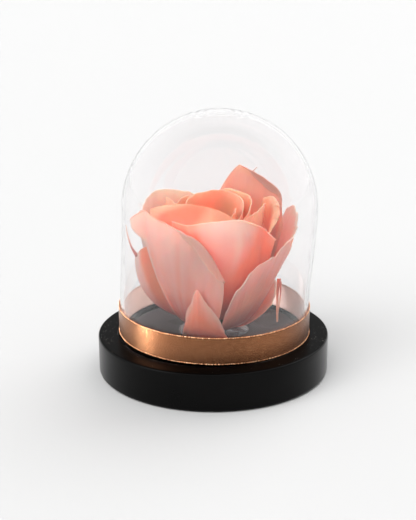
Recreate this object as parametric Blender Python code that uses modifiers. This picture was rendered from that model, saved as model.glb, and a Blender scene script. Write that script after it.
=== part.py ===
"""Preserved rose under a glass dome.

A round black wooden base has a shallow groove in which a clear glass dome stands. A satin ribbon
is wrapped round the foot of the glass. Inside, one preserved rose is glued to the middle of the
base. Every petal is a piece of its own, placed from its rim: the points that its upper edge
passes through, as the azimuth in degrees (0 is right, 270 is the front), the distance from the
rose's axis and the height above the table, both in millimetres.
"""

import math

import bmesh
import bpy
import numpy as np

MM = 0.001

# The base: a turned disc with a groove for the glass.
BASE_RADIUS = 43.6
BASE_HEIGHT = 14.6
BASE_TOP_ROUNDING = 0.75
BASE_FOOT_ROUNDING = 1.3
GROOVE_INNER_RADIUS = 33.2
GROOVE_OUTER_RADIUS = 36.3
GROOVE_DEPTH = 1.9

# The gap that every piece keeps to the one it rests on or against.
GAP = 0.3

# The glass: a hand-made dome, a little wider above than at its foot, and leaning to the right.
GLASS_FOOT_RADIUS = 35.6
GLASS_CROWN_RADIUS = 36.2
GLASS_WALL = 1.3
GLASS_CROWN_CENTRE = 63.1
GLASS_OFFSET = 0.4
GLASS_LEAN = 2.2
GLASS_LEAN_FROM = 21.0
GLASS_LEAN_TO = 64.0

# The ribbon: 10 mm satin, wrapped once round the glass, with its end lapped over its start.
RIBBON_WIDTH = 10.0
RIBBON_THICKNESS = 0.3
RIBBON_CLEARANCE = 0.1
RIBBON_LOWER_EDGE = 14.9
RIBBON_LAP_AT = 78.0
RIBBON_LAP_LENGTH = 9.6
RIBBON_LAP_RISE = 0.65
RIBBON_HIGH_SIDE = 150.0
RIBBON_HIGH_SIDE_RISE = 0.6

# The glue: one thin clear pool under the rose, with lobes that show beside it.
GLUE_RADIUS = 12.3
GLUE_LOBE = 1.4
GLUE_LOBES = 2
GLUE_THICKNESS = 0.5

# The receptacle: the blunt cone that carries the petals.
RECEPTACLE_FOOT = 16.0
RECEPTACLE_RADIUS = 5.3
RECEPTACLE_HEIGHT = 14.4

# The petals' claws climb the receptacle, layer by layer, from the outermost inwards.
CLAW_FOOT = 16.1
CLAW_STEP = 1.22
CLAW_RADIUS = 7.0
CLAW_RADIUS_STEP = 0.28
PETAL_THICKNESS = 0.45
CORNER_ROUNDING = 0.06
CORNER_POWER = 6

# The torn shred that hangs from the tip of the lower right petal: its ends, widths and bow.
SHRED_TOP = (25.4, 5.0, 33.4)
SHRED_END = (25.0, 3.4, 16.4)
SHRED_TOP_WIDTH = 1.6
SHRED_END_WIDTH = 0.7
SHRED_BOW = 0.5

ROUND_STEPS = 40


def petal_shapes():
    """The petals by name. claw is (azimuth, half width in degrees); low and high are the two inner
    control points of the side profile, each as a share of the rim's radius and of the height from
    claw to rim; fan is the stretch of the height over which the sides spread; flank draws the sides
    of the body in towards the axis; corner rounds the two ends of the rim; waist turns the
    middle of the height, by degrees from one side to the other; ridge pushes a crest outwards, given
    by its reach from side to side, its half width as reach and its millimetres from side to side;
    flare turns out the first corner, given by its share of the width, the reach where it starts and
    is full, millimetres outwards and degrees round."""
    return {
        "petal_front_small": dict(
            layer=0, claw=(254, 40), low=(0.86, 0.00), high=(1.00, 0.42), fan=(0.0, 1.0),
            rim=[(243, 19.6, 21.0), (244, 22.4, 28.0), (251, 24.4, 34.0), (257, 26.0, 40.2),
                 (263, 25.2, 35.6), (271, 23.8, 30.4), (281, 20.4, 22.6)],
        ),
        "petal_outer_right": dict(
            layer=1, claw=(309, 35), low=(0.60, 0.02), high=(0.72, 0.52), fan=(0.0, 0.6),
            rim=[(281, 24.0, 31.5), (287, 25.0, 37.0), (295, 26.2, 42.8), (304, 27.1, 47.8),
                 (317, 28.0, 50.6), (330, 29.0, 53.0), (341, 30.2, 55.4), (352, 30.4, 52.0),
                 (3, 29.6, 46.4)],
        ),
        "petal_outer_left": dict(
            layer=2.6, claw=(178, 22), low=(0.75, 0.02), high=(1.04, 0.50), fan=(0.0, 0.8),
            rim=[(148, 27.1, 35.1), (164, 28.1, 41.0), (180, 28.6, 45.2), (194, 28.6, 47.2),
                 (204, 27.8, 51.0), (212, 24.8, 54.2), (221, 23.6, 55.0), (232, 23.0, 50.0)],
        ),
        "petal_lower_right": dict(
            layer=0, claw=(26, 34), low=(0.62, 0.01), high=(0.80, 0.52), fan=(0.0, 0.8),
            corner=0.02,
            rim=[(354, 22.4, 25.6), (3, 24.0, 30.4), (11, 24.6, 33.2), (24, 24.6, 32.8),
                 (38, 24.3, 31.6), (52, 23.6, 27.6)],
        ),
        "petal_front_left": dict(
            layer=2, claw=(239, 34), low=(0.68, 0.02), high=(1.00, 0.46), fan=(0.15, 0.95),
            corner=0.0, waist=[16.0, 5.0, 0.0, 0.0], flare=(0.13, 0.88, 0.96, 3.3, -4.0),
            ridge=([0.62, 0.72, 0.86, 0.98, 1.0], 0.16, [0.0, 1.2, 1.4, 0.4, 0.0]),
            rim=[(201, 27.5, 61.4), (208, 27.5, 66.0), (221, 27.1, 64.7), (236, 26.8, 63.9),
                 (247, 26.8, 62.2), (257, 26.8, 60.0), (265, 27.2, 55.8), (272, 27.1, 50.0),
                 (278, 26.0, 42.5)],
        ),
        "petal_back_outer_left": dict(
            layer=2, claw=(118, 36), low=(0.72, 0.02), high=(1.00, 0.50), fan=(0.0, 0.85),
            rim=[(84, 26.2, 45.7), (98, 27.2, 52.1), (114, 28.1, 55.3), (130, 28.5, 54.3),
                 (146, 28.3, 47.9)],
        ),
        "petal_right": dict(
            layer=3, claw=(8, 36), low=(0.54, 0.03), high=(0.69, 0.55), fan=(0.0, 0.8),
            rim=[(353, 25.5, 44.7), (357, 30.4, 53.2), (4, 32.0, 58.6), (13, 31.9, 62.4),
                 (20, 31.2, 60.8), (27, 30.2, 55.4), (40, 29.0, 48.0)],
        ),
        "petal_outer_left_back": dict(
            layer=3, claw=(164, 38), low=(0.69, 0.02), high=(0.98, 0.50), fan=(0.0, 0.8),
            rim=[(128, 26.0, 47.9), (142, 26.6, 54.0), (156, 26.8, 58.0), (168, 26.9, 60.6),
                 (180, 27.1, 62.0), (190, 27.2, 62.4), (198, 26.8, 62.0), (206, 25.6, 59.6)],
        ),
        "petal_back_outer_right": dict(
            layer=3, claw=(80, 30), low=(0.66, 0.02), high=(0.90, 0.50), fan=(0.0, 0.85),
            rim=[(48, 25.7, 46.8), (60, 26.8, 53.2), (74, 27.0, 56.0), (88, 26.2, 54.3),
                 (102, 24.7, 48.9)],
        ),
        "petal_front": dict(
            layer=4, claw=(282, 40), low=(0.62, 0.03), high=(1.12, 0.62), fan=(0.0, 0.75),
            corner=0.0, flank=0.18,
            ridge=([0.84, 0.84], 0.13, [0.0, 0.8, 2.2, 2.6, 2.4, 1.4, -1.5, -0.5]),
            rim=[(232, 23.4, 63.2), (247, 23.8, 62.7), (262, 23.2, 63.8), (277, 23.2, 64.5),
                 (292, 23.4, 64.5), (306, 24.0, 62.3), (319, 24.9, 59.1), (331, 25.7, 54.3)],
        ),
        "petal_back_left": dict(
            layer=4, claw=(152, 40), low=(0.66, 0.03), high=(0.94, 0.50), fan=(0.0, 0.75),
            corner=0.0,
            rim=[(106, 16.6, 63.0), (119, 18.0, 64.9), (132, 20.6, 66.2), (145, 24.0, 66.9),
                 (157, 25.5, 65.9), (170, 26.0, 63.4), (184, 25.8, 61.4), (198, 24.6, 57.5)],
        ),
        "petal_under_left": dict(
            layer=5, claw=(206, 28), low=(0.66, 0.03), high=(0.92, 0.48), fan=(0.0, 0.8),
            rim=[(198, 20.8, 44.0), (207, 21.4, 47.0), (217, 21.8, 48.4), (227, 21.8, 48.0),
                 (237, 21.2, 44.0)],
        ),
        "petal_back_right": dict(
            layer=5, claw=(44, 38), low=(0.60, 0.03), high=(0.86, 0.50), fan=(0.0, 0.8),
            corner=0.02,
            rim=[(4, 26.2, 55.3), (11, 26.8, 62.1), (20, 27.0, 67.0), (30, 24.3, 70.4),
                 (43, 20.6, 74.0), (55, 17.7, 75.7), (67, 15.7, 71.9), (84, 14.9, 64.9)],
        ),
        "petal_inner_roll_right": dict(
            layer=6, claw=(340, 34), low=(0.58, 0.03), high=(0.92, 0.52), fan=(0.0, 0.75),
            corner=0.02,
            rim=[(328, 22.6, 56.6), (336, 22.8, 59.4), (345, 22.6, 62.6), (354, 22.2, 65.6),
                 (3, 21.0, 67.4), (14, 19.4, 66.8)],
        ),
        "petal_inner_front": dict(
            layer=6, claw=(262, 36), low=(0.60, 0.03), high=(1.10, 0.56), fan=(0.0, 0.7),
            corner=0.0,
            ridge=([0.84, 0.84], 0.12, [0.0, 0.6, 2.6, 4.8, 5.2, 4.2, 2.0, 0.0]),
            rim=[(172, 23.6, 59.4), (184, 22.6, 62.6), (196, 20.6, 65.0), (211, 18.4, 66.7),
                 (232, 15.4, 67.9), (254, 13.6, 67.5), (272, 13.4, 66.3), (290, 13.2, 64.0),
                 (306, 13.0, 61.4)],
        ),
        "petal_inner_back_left": dict(
            layer=6, claw=(120, 36), low=(0.60, 0.03), high=(0.96, 0.50), fan=(0.0, 0.8),
            rim=[(88, 13.0, 59.6), (102, 14.0, 62.8), (120, 14.5, 64.5), (138, 15.3, 64.5),
                 (158, 16.4, 62.3)],
        ),
        "petal_inner_front_right": dict(
            layer=7, claw=(334, 34), low=(0.60, 0.03), high=(0.96, 0.52), fan=(0.0, 0.7),
            corner=0.02,
            rim=[(306, 14.8, 61.1), (317, 15.9, 61.9), (328, 17.0, 63.1), (338, 18.0, 64.0),
                 (348, 18.8, 65.6), (358, 19.4, 65.5)],
        ),
        "petal_inner_left": dict(
            layer=7, claw=(200, 34), low=(0.60, 0.03), high=(1.00, 0.50), fan=(0.0, 0.7),
            rim=[(163, 18.0, 64.5), (172, 17.3, 66.7), (184, 15.8, 67.1), (200, 14.4, 66.4),
                 (222, 12.7, 65.2), (242, 11.3, 62.4)],
        ),
        "petal_inner_right_outer": dict(
            layer=8, claw=(10, 34), low=(0.62, 0.03), high=(0.98, 0.52), fan=(0.0, 0.7),
            corner=0.02,
            rim=[(322, 14.0, 61.9), (340, 14.3, 63.8), (0, 14.1, 66.2), (20, 13.6, 66.8),
                 (40, 12.3, 67.4), (60, 11.5, 68.1), (80, 11.1, 66.6)],
        ),
        "petal_inner_back": dict(
            layer=8.7, claw=(66, 58), low=(0.60, 0.03), high=(1.00, 0.52), fan=(0.0, 0.7),
            corner=0.01,
            rim=[(-46, 11.6, 59.6), (-30, 11.8, 62.4), (-15, 11.6, 64.6), (0, 11.0, 65.8),
                 (20, 10.5, 66.5), (44, 10.2, 66.8), (66, 9.8, 67.4), (86, 9.6, 67.4),
                 (106, 9.6, 66.8), (128, 10.2, 66.2), (150, 10.9, 65.1), (170, 10.6, 62.3)],
        ),
        "petal_inner_right": dict(
            layer=9.5, claw=(330, 34), low=(0.62, 0.03), high=(1.00, 0.52), fan=(0.0, 0.7),
            corner=0.03,
            rim=[(300, 8.2, 58.6), (318, 8.6, 61.0), (334, 8.8, 62.4), (350, 8.6, 63.0),
                 (6, 8.2, 62.6), (22, 7.8, 60.6)],
        ),
        "petal_inner_small": dict(
            layer=9, claw=(250, 30), low=(0.60, 0.03), high=(1.00, 0.52), fan=(0.0, 0.8),
            rim=[(206, 8.1, 59.6), (226, 8.1, 61.9), (248, 7.9, 62.3), (270, 7.7, 61.7),
                 (292, 7.4, 58.9)],
        ),
        "petal_centre_outer": dict(
            layer=10, claw=(150, 60), low=(0.84, 0.03), high=(1.00, 0.52), fan=(0.0, 0.8),
            rim=[(50, 4.5, 55.3), (100, 4.9, 58.1), (150, 5.3, 58.9), (200, 5.5, 58.3),
                 (250, 5.7, 55.7)],
        ),
        "petal_centre_inner": dict(
            layer=11, claw=(330, 60), low=(0.90, 0.03), high=(1.10, 0.52), fan=(0.0, 0.8),
            rim=[(240, 3.4, 54.3), (285, 3.6, 56.8), (330, 3.6, 57.4), (375, 3.2, 57.0),
                 (420, 2.8, 54.9)],
        ),
    }


def collection_named(name):
    made = bpy.data.collections.new(name)
    bpy.context.scene.collection.children.link(made)
    return made


def plain_material(name, colour, roughness, metallic=0.0, transmission=0.0):
    material = bpy.data.materials.new(name)
    material.use_nodes = True
    shader = material.node_tree.nodes["Principled BSDF"]
    shader.inputs["Base Color"].default_value = (*colour, 1.0)
    shader.inputs["Roughness"].default_value = roughness
    shader.inputs["Metallic"].default_value = metallic
    shader.inputs["Transmission Weight"].default_value = transmission
    return material


def mesh_object(name, mesh, parent_collection, material, sharp_angle=40):
    made = bpy.data.objects.new(name, mesh)
    parent_collection.objects.link(made)
    mesh.materials.append(material)
    mesh.shade_smooth()
    mesh.set_sharp_from_angle(angle=math.radians(sharp_angle))
    return made


def smoothstep(value, start, end):
    share = np.clip((value - start) / (end - start), 0.0, 1.0)
    return share * share * (3.0 - 2.0 * share)


def quarter_arc(centre_x, centre_z, radius, start, end, steps):
    """Points of an arc in the X-Z plane, from one angle in degrees to another."""
    return [
        (
            centre_x + radius * math.cos(math.radians(start + (end - start) * i / steps)),
            centre_z + radius * math.sin(math.radians(start + (end - start) * i / steps)),
        )
        for i in range(steps + 1)
    ]


def profile_mesh(name, points):
    """An open profile in the X-Z plane, in millimetres, as a mesh of edges in metres."""
    mesh = bpy.data.meshes.new(name)
    places = [(x * MM, 0.0, z * MM) for x, z in points]
    mesh.from_pydata(places, [(i, i + 1) for i in range(len(places) - 1)], [])
    return mesh


def turned(name, points, parent_collection, material):
    """A solid of revolution from a profile that starts and ends on the axis."""
    made = mesh_object(name, profile_mesh(name, points), parent_collection, material)
    screw = made.modifiers.new("turn", "SCREW")
    screw.steps = screw.render_steps = ROUND_STEPS
    screw.use_merge_vertices = True
    screw.merge_threshold = 0.00001
    screw.use_smooth_shade = True
    return made


def make_base(parts):
    wood = plain_material("black_painted_wood", (0.012, 0.012, 0.013), 0.42)
    groove_floor = BASE_HEIGHT - GROOVE_DEPTH
    top = quarter_arc(
        BASE_RADIUS - BASE_TOP_ROUNDING, BASE_HEIGHT - BASE_TOP_ROUNDING,
        BASE_TOP_ROUNDING, 90, 0, 3,
    )
    foot = quarter_arc(
        BASE_RADIUS - BASE_FOOT_ROUNDING, BASE_FOOT_ROUNDING, BASE_FOOT_ROUNDING, 0, -90, 3,
    )
    points = [
        (0.0, BASE_HEIGHT),
        (GROOVE_INNER_RADIUS, BASE_HEIGHT),
        (GROOVE_INNER_RADIUS, groove_floor),
        (GROOVE_OUTER_RADIUS, groove_floor),
        (GROOVE_OUTER_RADIUS, BASE_HEIGHT),
        *top,
        *foot,
        (0.0, 0.0),
    ]
    return turned("base", points, parts, wood)


def glass_centre(height):
    """How far the glass has leaned to the right at this height."""
    return GLASS_OFFSET + GLASS_LEAN * smoothstep(height, GLASS_LEAN_FROM, GLASS_LEAN_TO)


def glass_radius(height):
    widening = GLASS_CROWN_RADIUS - GLASS_FOOT_RADIUS
    return GLASS_FOOT_RADIUS + widening * smoothstep(height, GLASS_LEAN_FROM, GLASS_LEAN_TO)


def make_dome(parts):
    glass = plain_material("clear_glass", (1.0, 1.0, 1.0), 0.02, transmission=1.0)
    foot = BASE_HEIGHT - GROOVE_DEPTH + GAP
    wall = [
        (glass_radius(height), height)
        for height in np.linspace(GLASS_CROWN_CENTRE, foot, 5)[1:]
    ]
    crown = quarter_arc(0.0, GLASS_CROWN_CENTRE, GLASS_CROWN_RADIUS, 90, 0, 8)
    crown[0] = (0.0, GLASS_CROWN_CENTRE + GLASS_CROWN_RADIUS)
    mesh = bpy.data.meshes.new("glass_dome")
    shape = bmesh.new()
    shape.from_mesh(profile_mesh("glass_profile", crown + wall))
    bmesh.ops.spin(
        shape, geom=shape.verts[:] + shape.edges[:], cent=(0, 0, 0), axis=(0, 0, 1),
        angle=2 * math.pi, steps=ROUND_STEPS, use_merge=True,
    )
    bmesh.ops.remove_doubles(shape, verts=shape.verts[:], dist=0.000001)
    for vertex in shape.verts:
        vertex.co.x += glass_centre(vertex.co.z / MM) * MM
    bmesh.ops.recalc_face_normals(shape, faces=shape.faces[:])
    shape.to_mesh(mesh)
    shape.free()
    dome = mesh_object("glass_dome", mesh, parts, glass)
    wall_thickness = dome.modifiers.new("wall", "SOLIDIFY")
    wall_thickness.thickness = GLASS_WALL * MM
    wall_thickness.offset = -1.0
    return dome


def grid_object(name, places, parent_collection, material, thickness, offset=0.0):
    """A sheet through a grid of places in millimetres, given its thickness by Solidify."""
    rows, columns = places.shape[:2]
    shape = bmesh.new()
    bmesh.ops.create_grid(shape, x_segments=columns - 1, y_segments=rows - 1, size=1.0)
    for vertex in shape.verts:
        column = round((vertex.co.x + 1.0) / 2.0 * (columns - 1))
        row = round((vertex.co.y + 1.0) / 2.0 * (rows - 1))
        vertex.co = places[row, column] * MM
    mesh = bpy.data.meshes.new(name)
    shape.to_mesh(mesh)
    shape.free()
    made = mesh_object(name, mesh, parent_collection, material)
    solid = made.modifiers.new("thickness", "SOLIDIFY")
    solid.thickness = thickness * MM
    solid.offset = offset
    return made


def make_ribbon(parts):
    satin = plain_material("copper_satin", (0.52, 0.28, 0.14), 0.35)
    lap = math.degrees(RIBBON_LAP_LENGTH / GLASS_FOOT_RADIUS)
    angle = np.linspace(RIBBON_LAP_AT, RIBBON_LAP_AT + 360 + lap, 61)[None, :]
    share = np.linspace(0.0, 1.0, 2)[:, None]
    high_side = np.cos(np.radians(angle - RIBBON_HIGH_SIDE))
    height = RIBBON_LOWER_EDGE + RIBBON_HIGH_SIDE_RISE * (1 + high_side) + share * RIBBON_WIDTH
    inner = glass_radius(height) + RIBBON_CLEARANCE + RIBBON_THICKNESS / 2
    lapped = smoothstep(angle, RIBBON_LAP_AT + 360 - 2 * lap, RIBBON_LAP_AT + 360 - 0.3 * lap)
    radius = inner + RIBBON_LAP_RISE * lapped
    places = np.stack(
        [
            glass_centre(height) + radius * np.cos(np.radians(angle)),
            radius * np.sin(np.radians(angle)),
            height + 0 * angle,
        ],
        axis=-1,
    )
    return grid_object("ribbon", places, parts, satin, RIBBON_THICKNESS)


def make_glue(parts):
    clear = plain_material("clear_glue", (0.8, 0.8, 0.8), 0.25, transmission=0.6)
    shape = bmesh.new()
    bmesh.ops.create_cone(
        shape, cap_ends=True, segments=32, radius1=GLUE_RADIUS * MM,
        radius2=(GLUE_RADIUS - 0.6) * MM, depth=GLUE_THICKNESS * MM,
    )
    lift = (BASE_HEIGHT + GAP + GLUE_THICKNESS / 2) * MM
    for vertex in shape.verts:
        angle = math.atan2(vertex.co.y, vertex.co.x)
        vertex.co.xy *= 1 + GLUE_LOBE / GLUE_RADIUS * math.cos(GLUE_LOBES * angle)
        vertex.co.z += lift
    mesh = bpy.data.meshes.new("glue")
    shape.to_mesh(mesh)
    shape.free()
    return mesh_object("glue", mesh, parts, clear)


def make_receptacle(parts):
    green = plain_material("dry_green", (0.22, 0.24, 0.10), 0.8)
    crown = [
        (RECEPTACLE_RADIUS * math.cos(turn) ** 0.8, RECEPTACLE_FOOT + RECEPTACLE_HEIGHT * math.sin(turn))
        for turn in np.linspace(math.pi / 2, 0.0, 7)
    ]
    crown[0] = (0.0, RECEPTACLE_FOOT + RECEPTACLE_HEIGHT)
    points = crown + [(RECEPTACLE_RADIUS - 0.8, RECEPTACLE_FOOT - 0.2), (0.0, RECEPTACLE_FOOT - 0.2)]
    return turned("receptacle", points, parts, green)


def through(values, share):
    """A smooth curve through equally spaced values, read at shares from 0 to 1 of its length."""
    values = np.asarray(values, float)
    padded = np.concatenate([[2 * values[0] - values[1]], values, [2 * values[-1] - values[-2]]])
    place = np.clip(share, 0.0, 1.0) * (len(values) - 1)
    start = np.minimum(place.astype(int), len(values) - 2)
    t = place - start
    before, here, there, after = (padded[start + i] for i in range(4))
    return 0.5 * (
        2 * here
        + (there - before) * t
        + (2 * before - 5 * here + 4 * there - after) * t**2
        + (3 * here - before - 3 * there + after) * t**3
    )


def bezier(first, second, third, last, t):
    return (
        first * (1 - t) ** 3
        + 3 * second * (1 - t) ** 2 * t
        + 3 * third * (1 - t) * t**2
        + last * t**3
    )


def petal_places(shape, across, along):
    """Places on a petal, as rows from its claw to its rim and columns from side to side."""
    side = np.linspace(-1.0, 1.0, across + 1)[None, :]
    rise = np.linspace(0.0, 1.0, along + 1)[:, None]
    azimuths, radii, heights = zip(*shape["rim"])
    share = (side + 1) / 2
    azimuth = through(np.degrees(np.unwrap(np.radians(azimuths))), share)
    radius = through(radii, share)
    height = through(heights, share)
    claw_azimuth, claw_half = shape["claw"]
    turns = round((azimuth.mean() - claw_azimuth) / 360)
    claw = claw_azimuth + 360 * turns + side * claw_half
    claw_radius = CLAW_RADIUS - CLAW_RADIUS_STEP * shape["layer"]
    claw_height = CLAW_FOOT + CLAW_STEP * shape["layer"]
    corner = shape.get("corner", CORNER_ROUNDING)
    reach = rise * (1 - corner * np.abs(side) ** CORNER_POWER)
    waist = through(shape.get("waist", (0.0, 0.0)), share) * 4 * reach * (1 - reach)
    angle = np.radians(claw + (azimuth - claw) * smoothstep(reach, *shape["fan"]) + waist)
    flank = 1 - shape.get("flank", 0.0) * side**2
    out = bezier(
        claw_radius, radius * shape["low"][0], radius * shape["high"][0] * flank, radius, reach
    )
    if "ridge" in shape:
        crest, half_width, outward = shape["ridge"]
        out = out + through(outward, share) * np.exp(-(((reach - through(crest, share)) / half_width) ** 2))
    if "flare" in shape:
        width, start, full, outward, around = shape["flare"]
        turned = (1 - smoothstep(share, 0.0, width)) * smoothstep(reach, start, full)
        out = out + outward * turned
        angle = angle + np.radians(around) * turned
    climb = height - claw_height
    up = bezier(
        claw_height,
        claw_height + climb * shape["low"][1],
        claw_height + climb * shape["high"][1],
        height,
        reach,
    )
    return np.stack([out * np.cos(angle), out * np.sin(angle), up], axis=-1)


def make_petals(parts):
    outer = plain_material("petal_blush", (0.78, 0.40, 0.33), 0.6)
    inner = plain_material("petal_peach", (0.90, 0.46, 0.34), 0.6)
    for name, shape in petal_shapes().items():
        is_inner = shape["layer"] > 5
        across = (6 if is_inner else 7) + (3 if shape["claw"][1] > 50 and shape["layer"] < 10 else 0)
        along = 6 if is_inner else 7
        places = petal_places(shape, across, along)
        grid_object(name, places, parts, inner if is_inner else outer, PETAL_THICKNESS)


def make_shred(parts):
    """A narrow hanging strip, bowed outwards a little, that tapers to its lower end."""
    blush = plain_material("petal_shred", (0.72, 0.38, 0.32), 0.6)
    top, end = np.array(SHRED_TOP), np.array(SHRED_END)
    share = np.linspace(0.0, 1.0, 8)[:, None, None]
    side = np.linspace(-0.5, 0.5, 3)[None, :, None]
    width = SHRED_TOP_WIDTH + (SHRED_END_WIDTH - SHRED_TOP_WIDTH) * share
    outward = np.array([1.0, 0.0, 0.0]) * SHRED_BOW * np.sin(math.pi * share)
    across = np.array([0.35, -0.94, 0.0])
    places = top + (end - top) * share + across * side * width + outward
    grid_object("petal_shred", places, parts, blush, PETAL_THICKNESS)


def main():
    for old in list(bpy.data.objects):
        bpy.data.objects.remove(old, do_unlink=True)
    parts = collection_named("preserved_rose_in_glass_dome")
    make_base(parts)
    make_dome(parts)
    make_ribbon(parts)
    make_glue(parts)
    make_receptacle(parts)
    make_petals(parts)
    make_shred(parts)


main()
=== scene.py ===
import math

import bpy
import numpy as np
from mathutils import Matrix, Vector


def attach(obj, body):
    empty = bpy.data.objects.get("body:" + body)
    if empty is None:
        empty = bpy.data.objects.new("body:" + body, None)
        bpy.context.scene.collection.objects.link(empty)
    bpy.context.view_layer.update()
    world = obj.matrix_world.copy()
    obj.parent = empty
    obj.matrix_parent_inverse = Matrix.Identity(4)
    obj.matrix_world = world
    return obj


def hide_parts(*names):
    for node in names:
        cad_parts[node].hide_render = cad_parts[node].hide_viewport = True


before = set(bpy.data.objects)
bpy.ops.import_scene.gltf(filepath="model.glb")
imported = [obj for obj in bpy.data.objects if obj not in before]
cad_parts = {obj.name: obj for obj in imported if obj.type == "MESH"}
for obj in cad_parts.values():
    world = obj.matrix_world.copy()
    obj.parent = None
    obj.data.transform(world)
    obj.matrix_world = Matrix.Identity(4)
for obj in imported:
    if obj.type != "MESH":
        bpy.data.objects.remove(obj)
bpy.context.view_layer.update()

mm = 0.001

# The camera, fitted to the ellipses of the base, ribbon and glass: millimetres and degrees.
cameraView = dict(
    distance=449.26, elevation=17.82, roll=-0.32, across=-1.84, lookHeight=42.48,
    focalPixels=1200, pictureHeight=520, sensor=36,
)


def setCamera(view):
    # at a distance from the point looked at, raised by the elevation, then rolled about its own axis
    lens = bpy.data.cameras.new("roseCamera")
    lens.sensor_width = view["sensor"]
    lens.lens = view["focalPixels"] / view["pictureHeight"] * view["sensor"]
    camera = bpy.data.objects.new("roseCamera", lens)
    bpy.context.scene.collection.objects.link(camera)
    tilt = math.radians(view["elevation"])
    camera.location = (
        view["across"] * mm,
        -view["distance"] * math.cos(tilt) * mm,
        (view["lookHeight"] + view["distance"] * math.sin(tilt)) * mm,
    )
    camera.rotation_euler = (math.pi / 2 - tilt, 0, 0)
    camera.rotation_euler.rotate_axis("Z", math.radians(view["roll"]))
    bpy.context.scene.camera = camera


# Soft studio light: a white room, darker on the camera's side, and broad distant lamps. A lamp lights
# the pieces in only, or all but those in leave; throughGlass lets it past the dome undimmed.
ribbonPieces = ["ribbonBand", "ribbonEdgeBeads"]
heartPieces = [
    "petalInnerBack", "petalInnerRight", "petalInnerRightOuter", "petalInnerFrontRight", "petalInnerFront",
    "petalInnerSmall", "petalCentreOuter", "petalCentreInner",
]
studio = dict(
    frontOfRoom=0.60, restOfRoom=1.07, roomEdges=(0.12, 0.58), floorFirst=0.05, floorRadius=6.0,
    floorRings=12, floorSegments=96, floorWhite=0.375,  # the floor's radii are in metres
    lamps=[  # direction, width in degrees, light on a facing surface
        dict(name="rightLamp", towards=(0.40, 0.50, 0.77), width=46, strength=2.0),
        dict(name="leftLamp", towards=(-0.80, -0.42, 0.42), width=40, strength=1.0, throughGlass=True),
        dict(name="petalLamp", towards=(0.0, -0.95, 0.31), width=30, strength=1.15, throughGlass=True,
             leave=["paperFloor", "baseDisc", "petalBackRight"] + ribbonPieces),
        dict(name="heartLamp", towards=(-0.1, -0.50, 0.86), width=50, strength=1.3, throughGlass=True,
             only=heartPieces),
        dict(name="ribbonLamp", towards=(-0.975, -0.11, 0.19), width=17, strength=8.8, only=ribbonPieces),
        dict(name="ribbonFill", towards=(0.95, -0.25, 0.20), width=60, strength=1.9, only=ribbonPieces),
        dict(name="floorFill", towards=(-0.45, -0.55, 0.70), width=60, strength=3.5, only=["paperFloor"]),
    ],
)


def setRoom(light):
    # the room's brightness ramps with the direction's share of (0, 1, 0.9), so it is darker in front
    world = bpy.data.worlds.new("whiteRoom")
    world.use_nodes = True
    tree = world.node_tree
    toRoom = addNode(tree, "TexCoord").outputs["Generated"]
    behind = addNode(tree, "VectorMath", {0: toRoom, 1: (0.0, 1.0, 0.9)}, operation="DOT_PRODUCT")
    behind = spanValue(tree, behind.outputs["Value"], -1.0, 1.0)
    front, rest = light["roomEdges"]
    stops = [(front, light["frontOfRoom"]), (rest, light["restOfRoom"])]
    feed(tree.nodes["Background"], "Color", addRamp(tree, behind, stops))
    bpy.context.scene.world = world
    bpy.context.scene.view_settings.view_transform = "Standard"


def pieceGroup(name, pieces, state):
    # a collection for light linking, whose state says whether it takes part or is left out
    group = bpy.data.collections.new(name)
    for piece in pieces:
        group.objects.link(bpy.data.objects[piece])
    for entry in group.collection_objects:
        entry.light_linking.link_state = state
    return group


def setLamps(lamps):
    # the dome takes no lamp's light, so it shows the room alone
    for lamp in lamps:
        shine = bpy.data.lights.new(lamp["name"], "SUN")
        shine.angle = math.radians(lamp["width"])
        shine.energy = lamp["strength"]
        made = bpy.data.objects.new(lamp["name"], shine)
        bpy.context.scene.collection.objects.link(made)
        made.rotation_euler = Vector(lamp["towards"]).to_track_quat("Z", "Y").to_euler()
        pieces = lamp.get("only", ["glassDome"] + lamp.get("leave", []))
        state = "INCLUDE" if "only" in lamp else "EXCLUDE"
        made.light_linking.receiver_collection = pieceGroup(lamp["name"] + "Reach", pieces, state)
        if "throughGlass" in lamp:
            dome = pieceGroup(lamp["name"] + "Glass", ["glassDome"], "EXCLUDE")
            made.light_linking.blocker_collection = dome


# shared arithmetic: every shape below is a function on a grid

def smoothstep(value, start, end):
    # 3t^2 - 2t^3 of the share t of the way from start to end
    share = np.clip((value - start) / (end - start), 0.0, 1.0)
    return share * share * (3.0 - 2.0 * share)


def through(values, share):
    # Catmull-Rom curve through equally spaced values, read at shares 0 to 1 of its length
    values = np.asarray(values, float)
    padded = np.concatenate([[2 * values[0] - values[1]], values, [2 * values[-1] - values[-2]]])
    place = np.clip(share, 0.0, 1.0) * (len(values) - 1)
    start = np.minimum(place.astype(int), len(values) - 2)
    t = place - start
    before, here, there, after = (padded[start + i] for i in range(4))
    return 0.5 * (
        2 * here + (there - before) * t
        + (2 * before - 5 * here + 4 * there - after) * t**2
        + (3 * here - before - 3 * there + after) * t**3
    )


def bezier(first, second, third, last, t):
    # cubic Bezier of four values
    return (
        first * (1 - t) ** 3 + 3 * second * (1 - t) ** 2 * t
        + 3 * third * (1 - t) * t**2 + last * t**3
    )


def unit(vectors):
    # each vector divided by its length
    return vectors / np.maximum(np.linalg.norm(vectors, axis=-1, keepdims=True), 1e-9)


def arc(centreX, centreZ, radius, start, end, steps):
    # a profile's round corner: centre plus radius times (cos, sin) of the turning angle
    turn = np.radians(np.linspace(start, end, steps + 1))
    return np.stack([centreX + radius * np.cos(turn), centreZ + radius * np.sin(turn)], axis=-1)


def fullTurn(columns):
    # the azimuths of a closed grid's columns, in radians
    return np.linspace(0, 2 * math.pi, columns, endpoint=False)[None, :]


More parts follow.
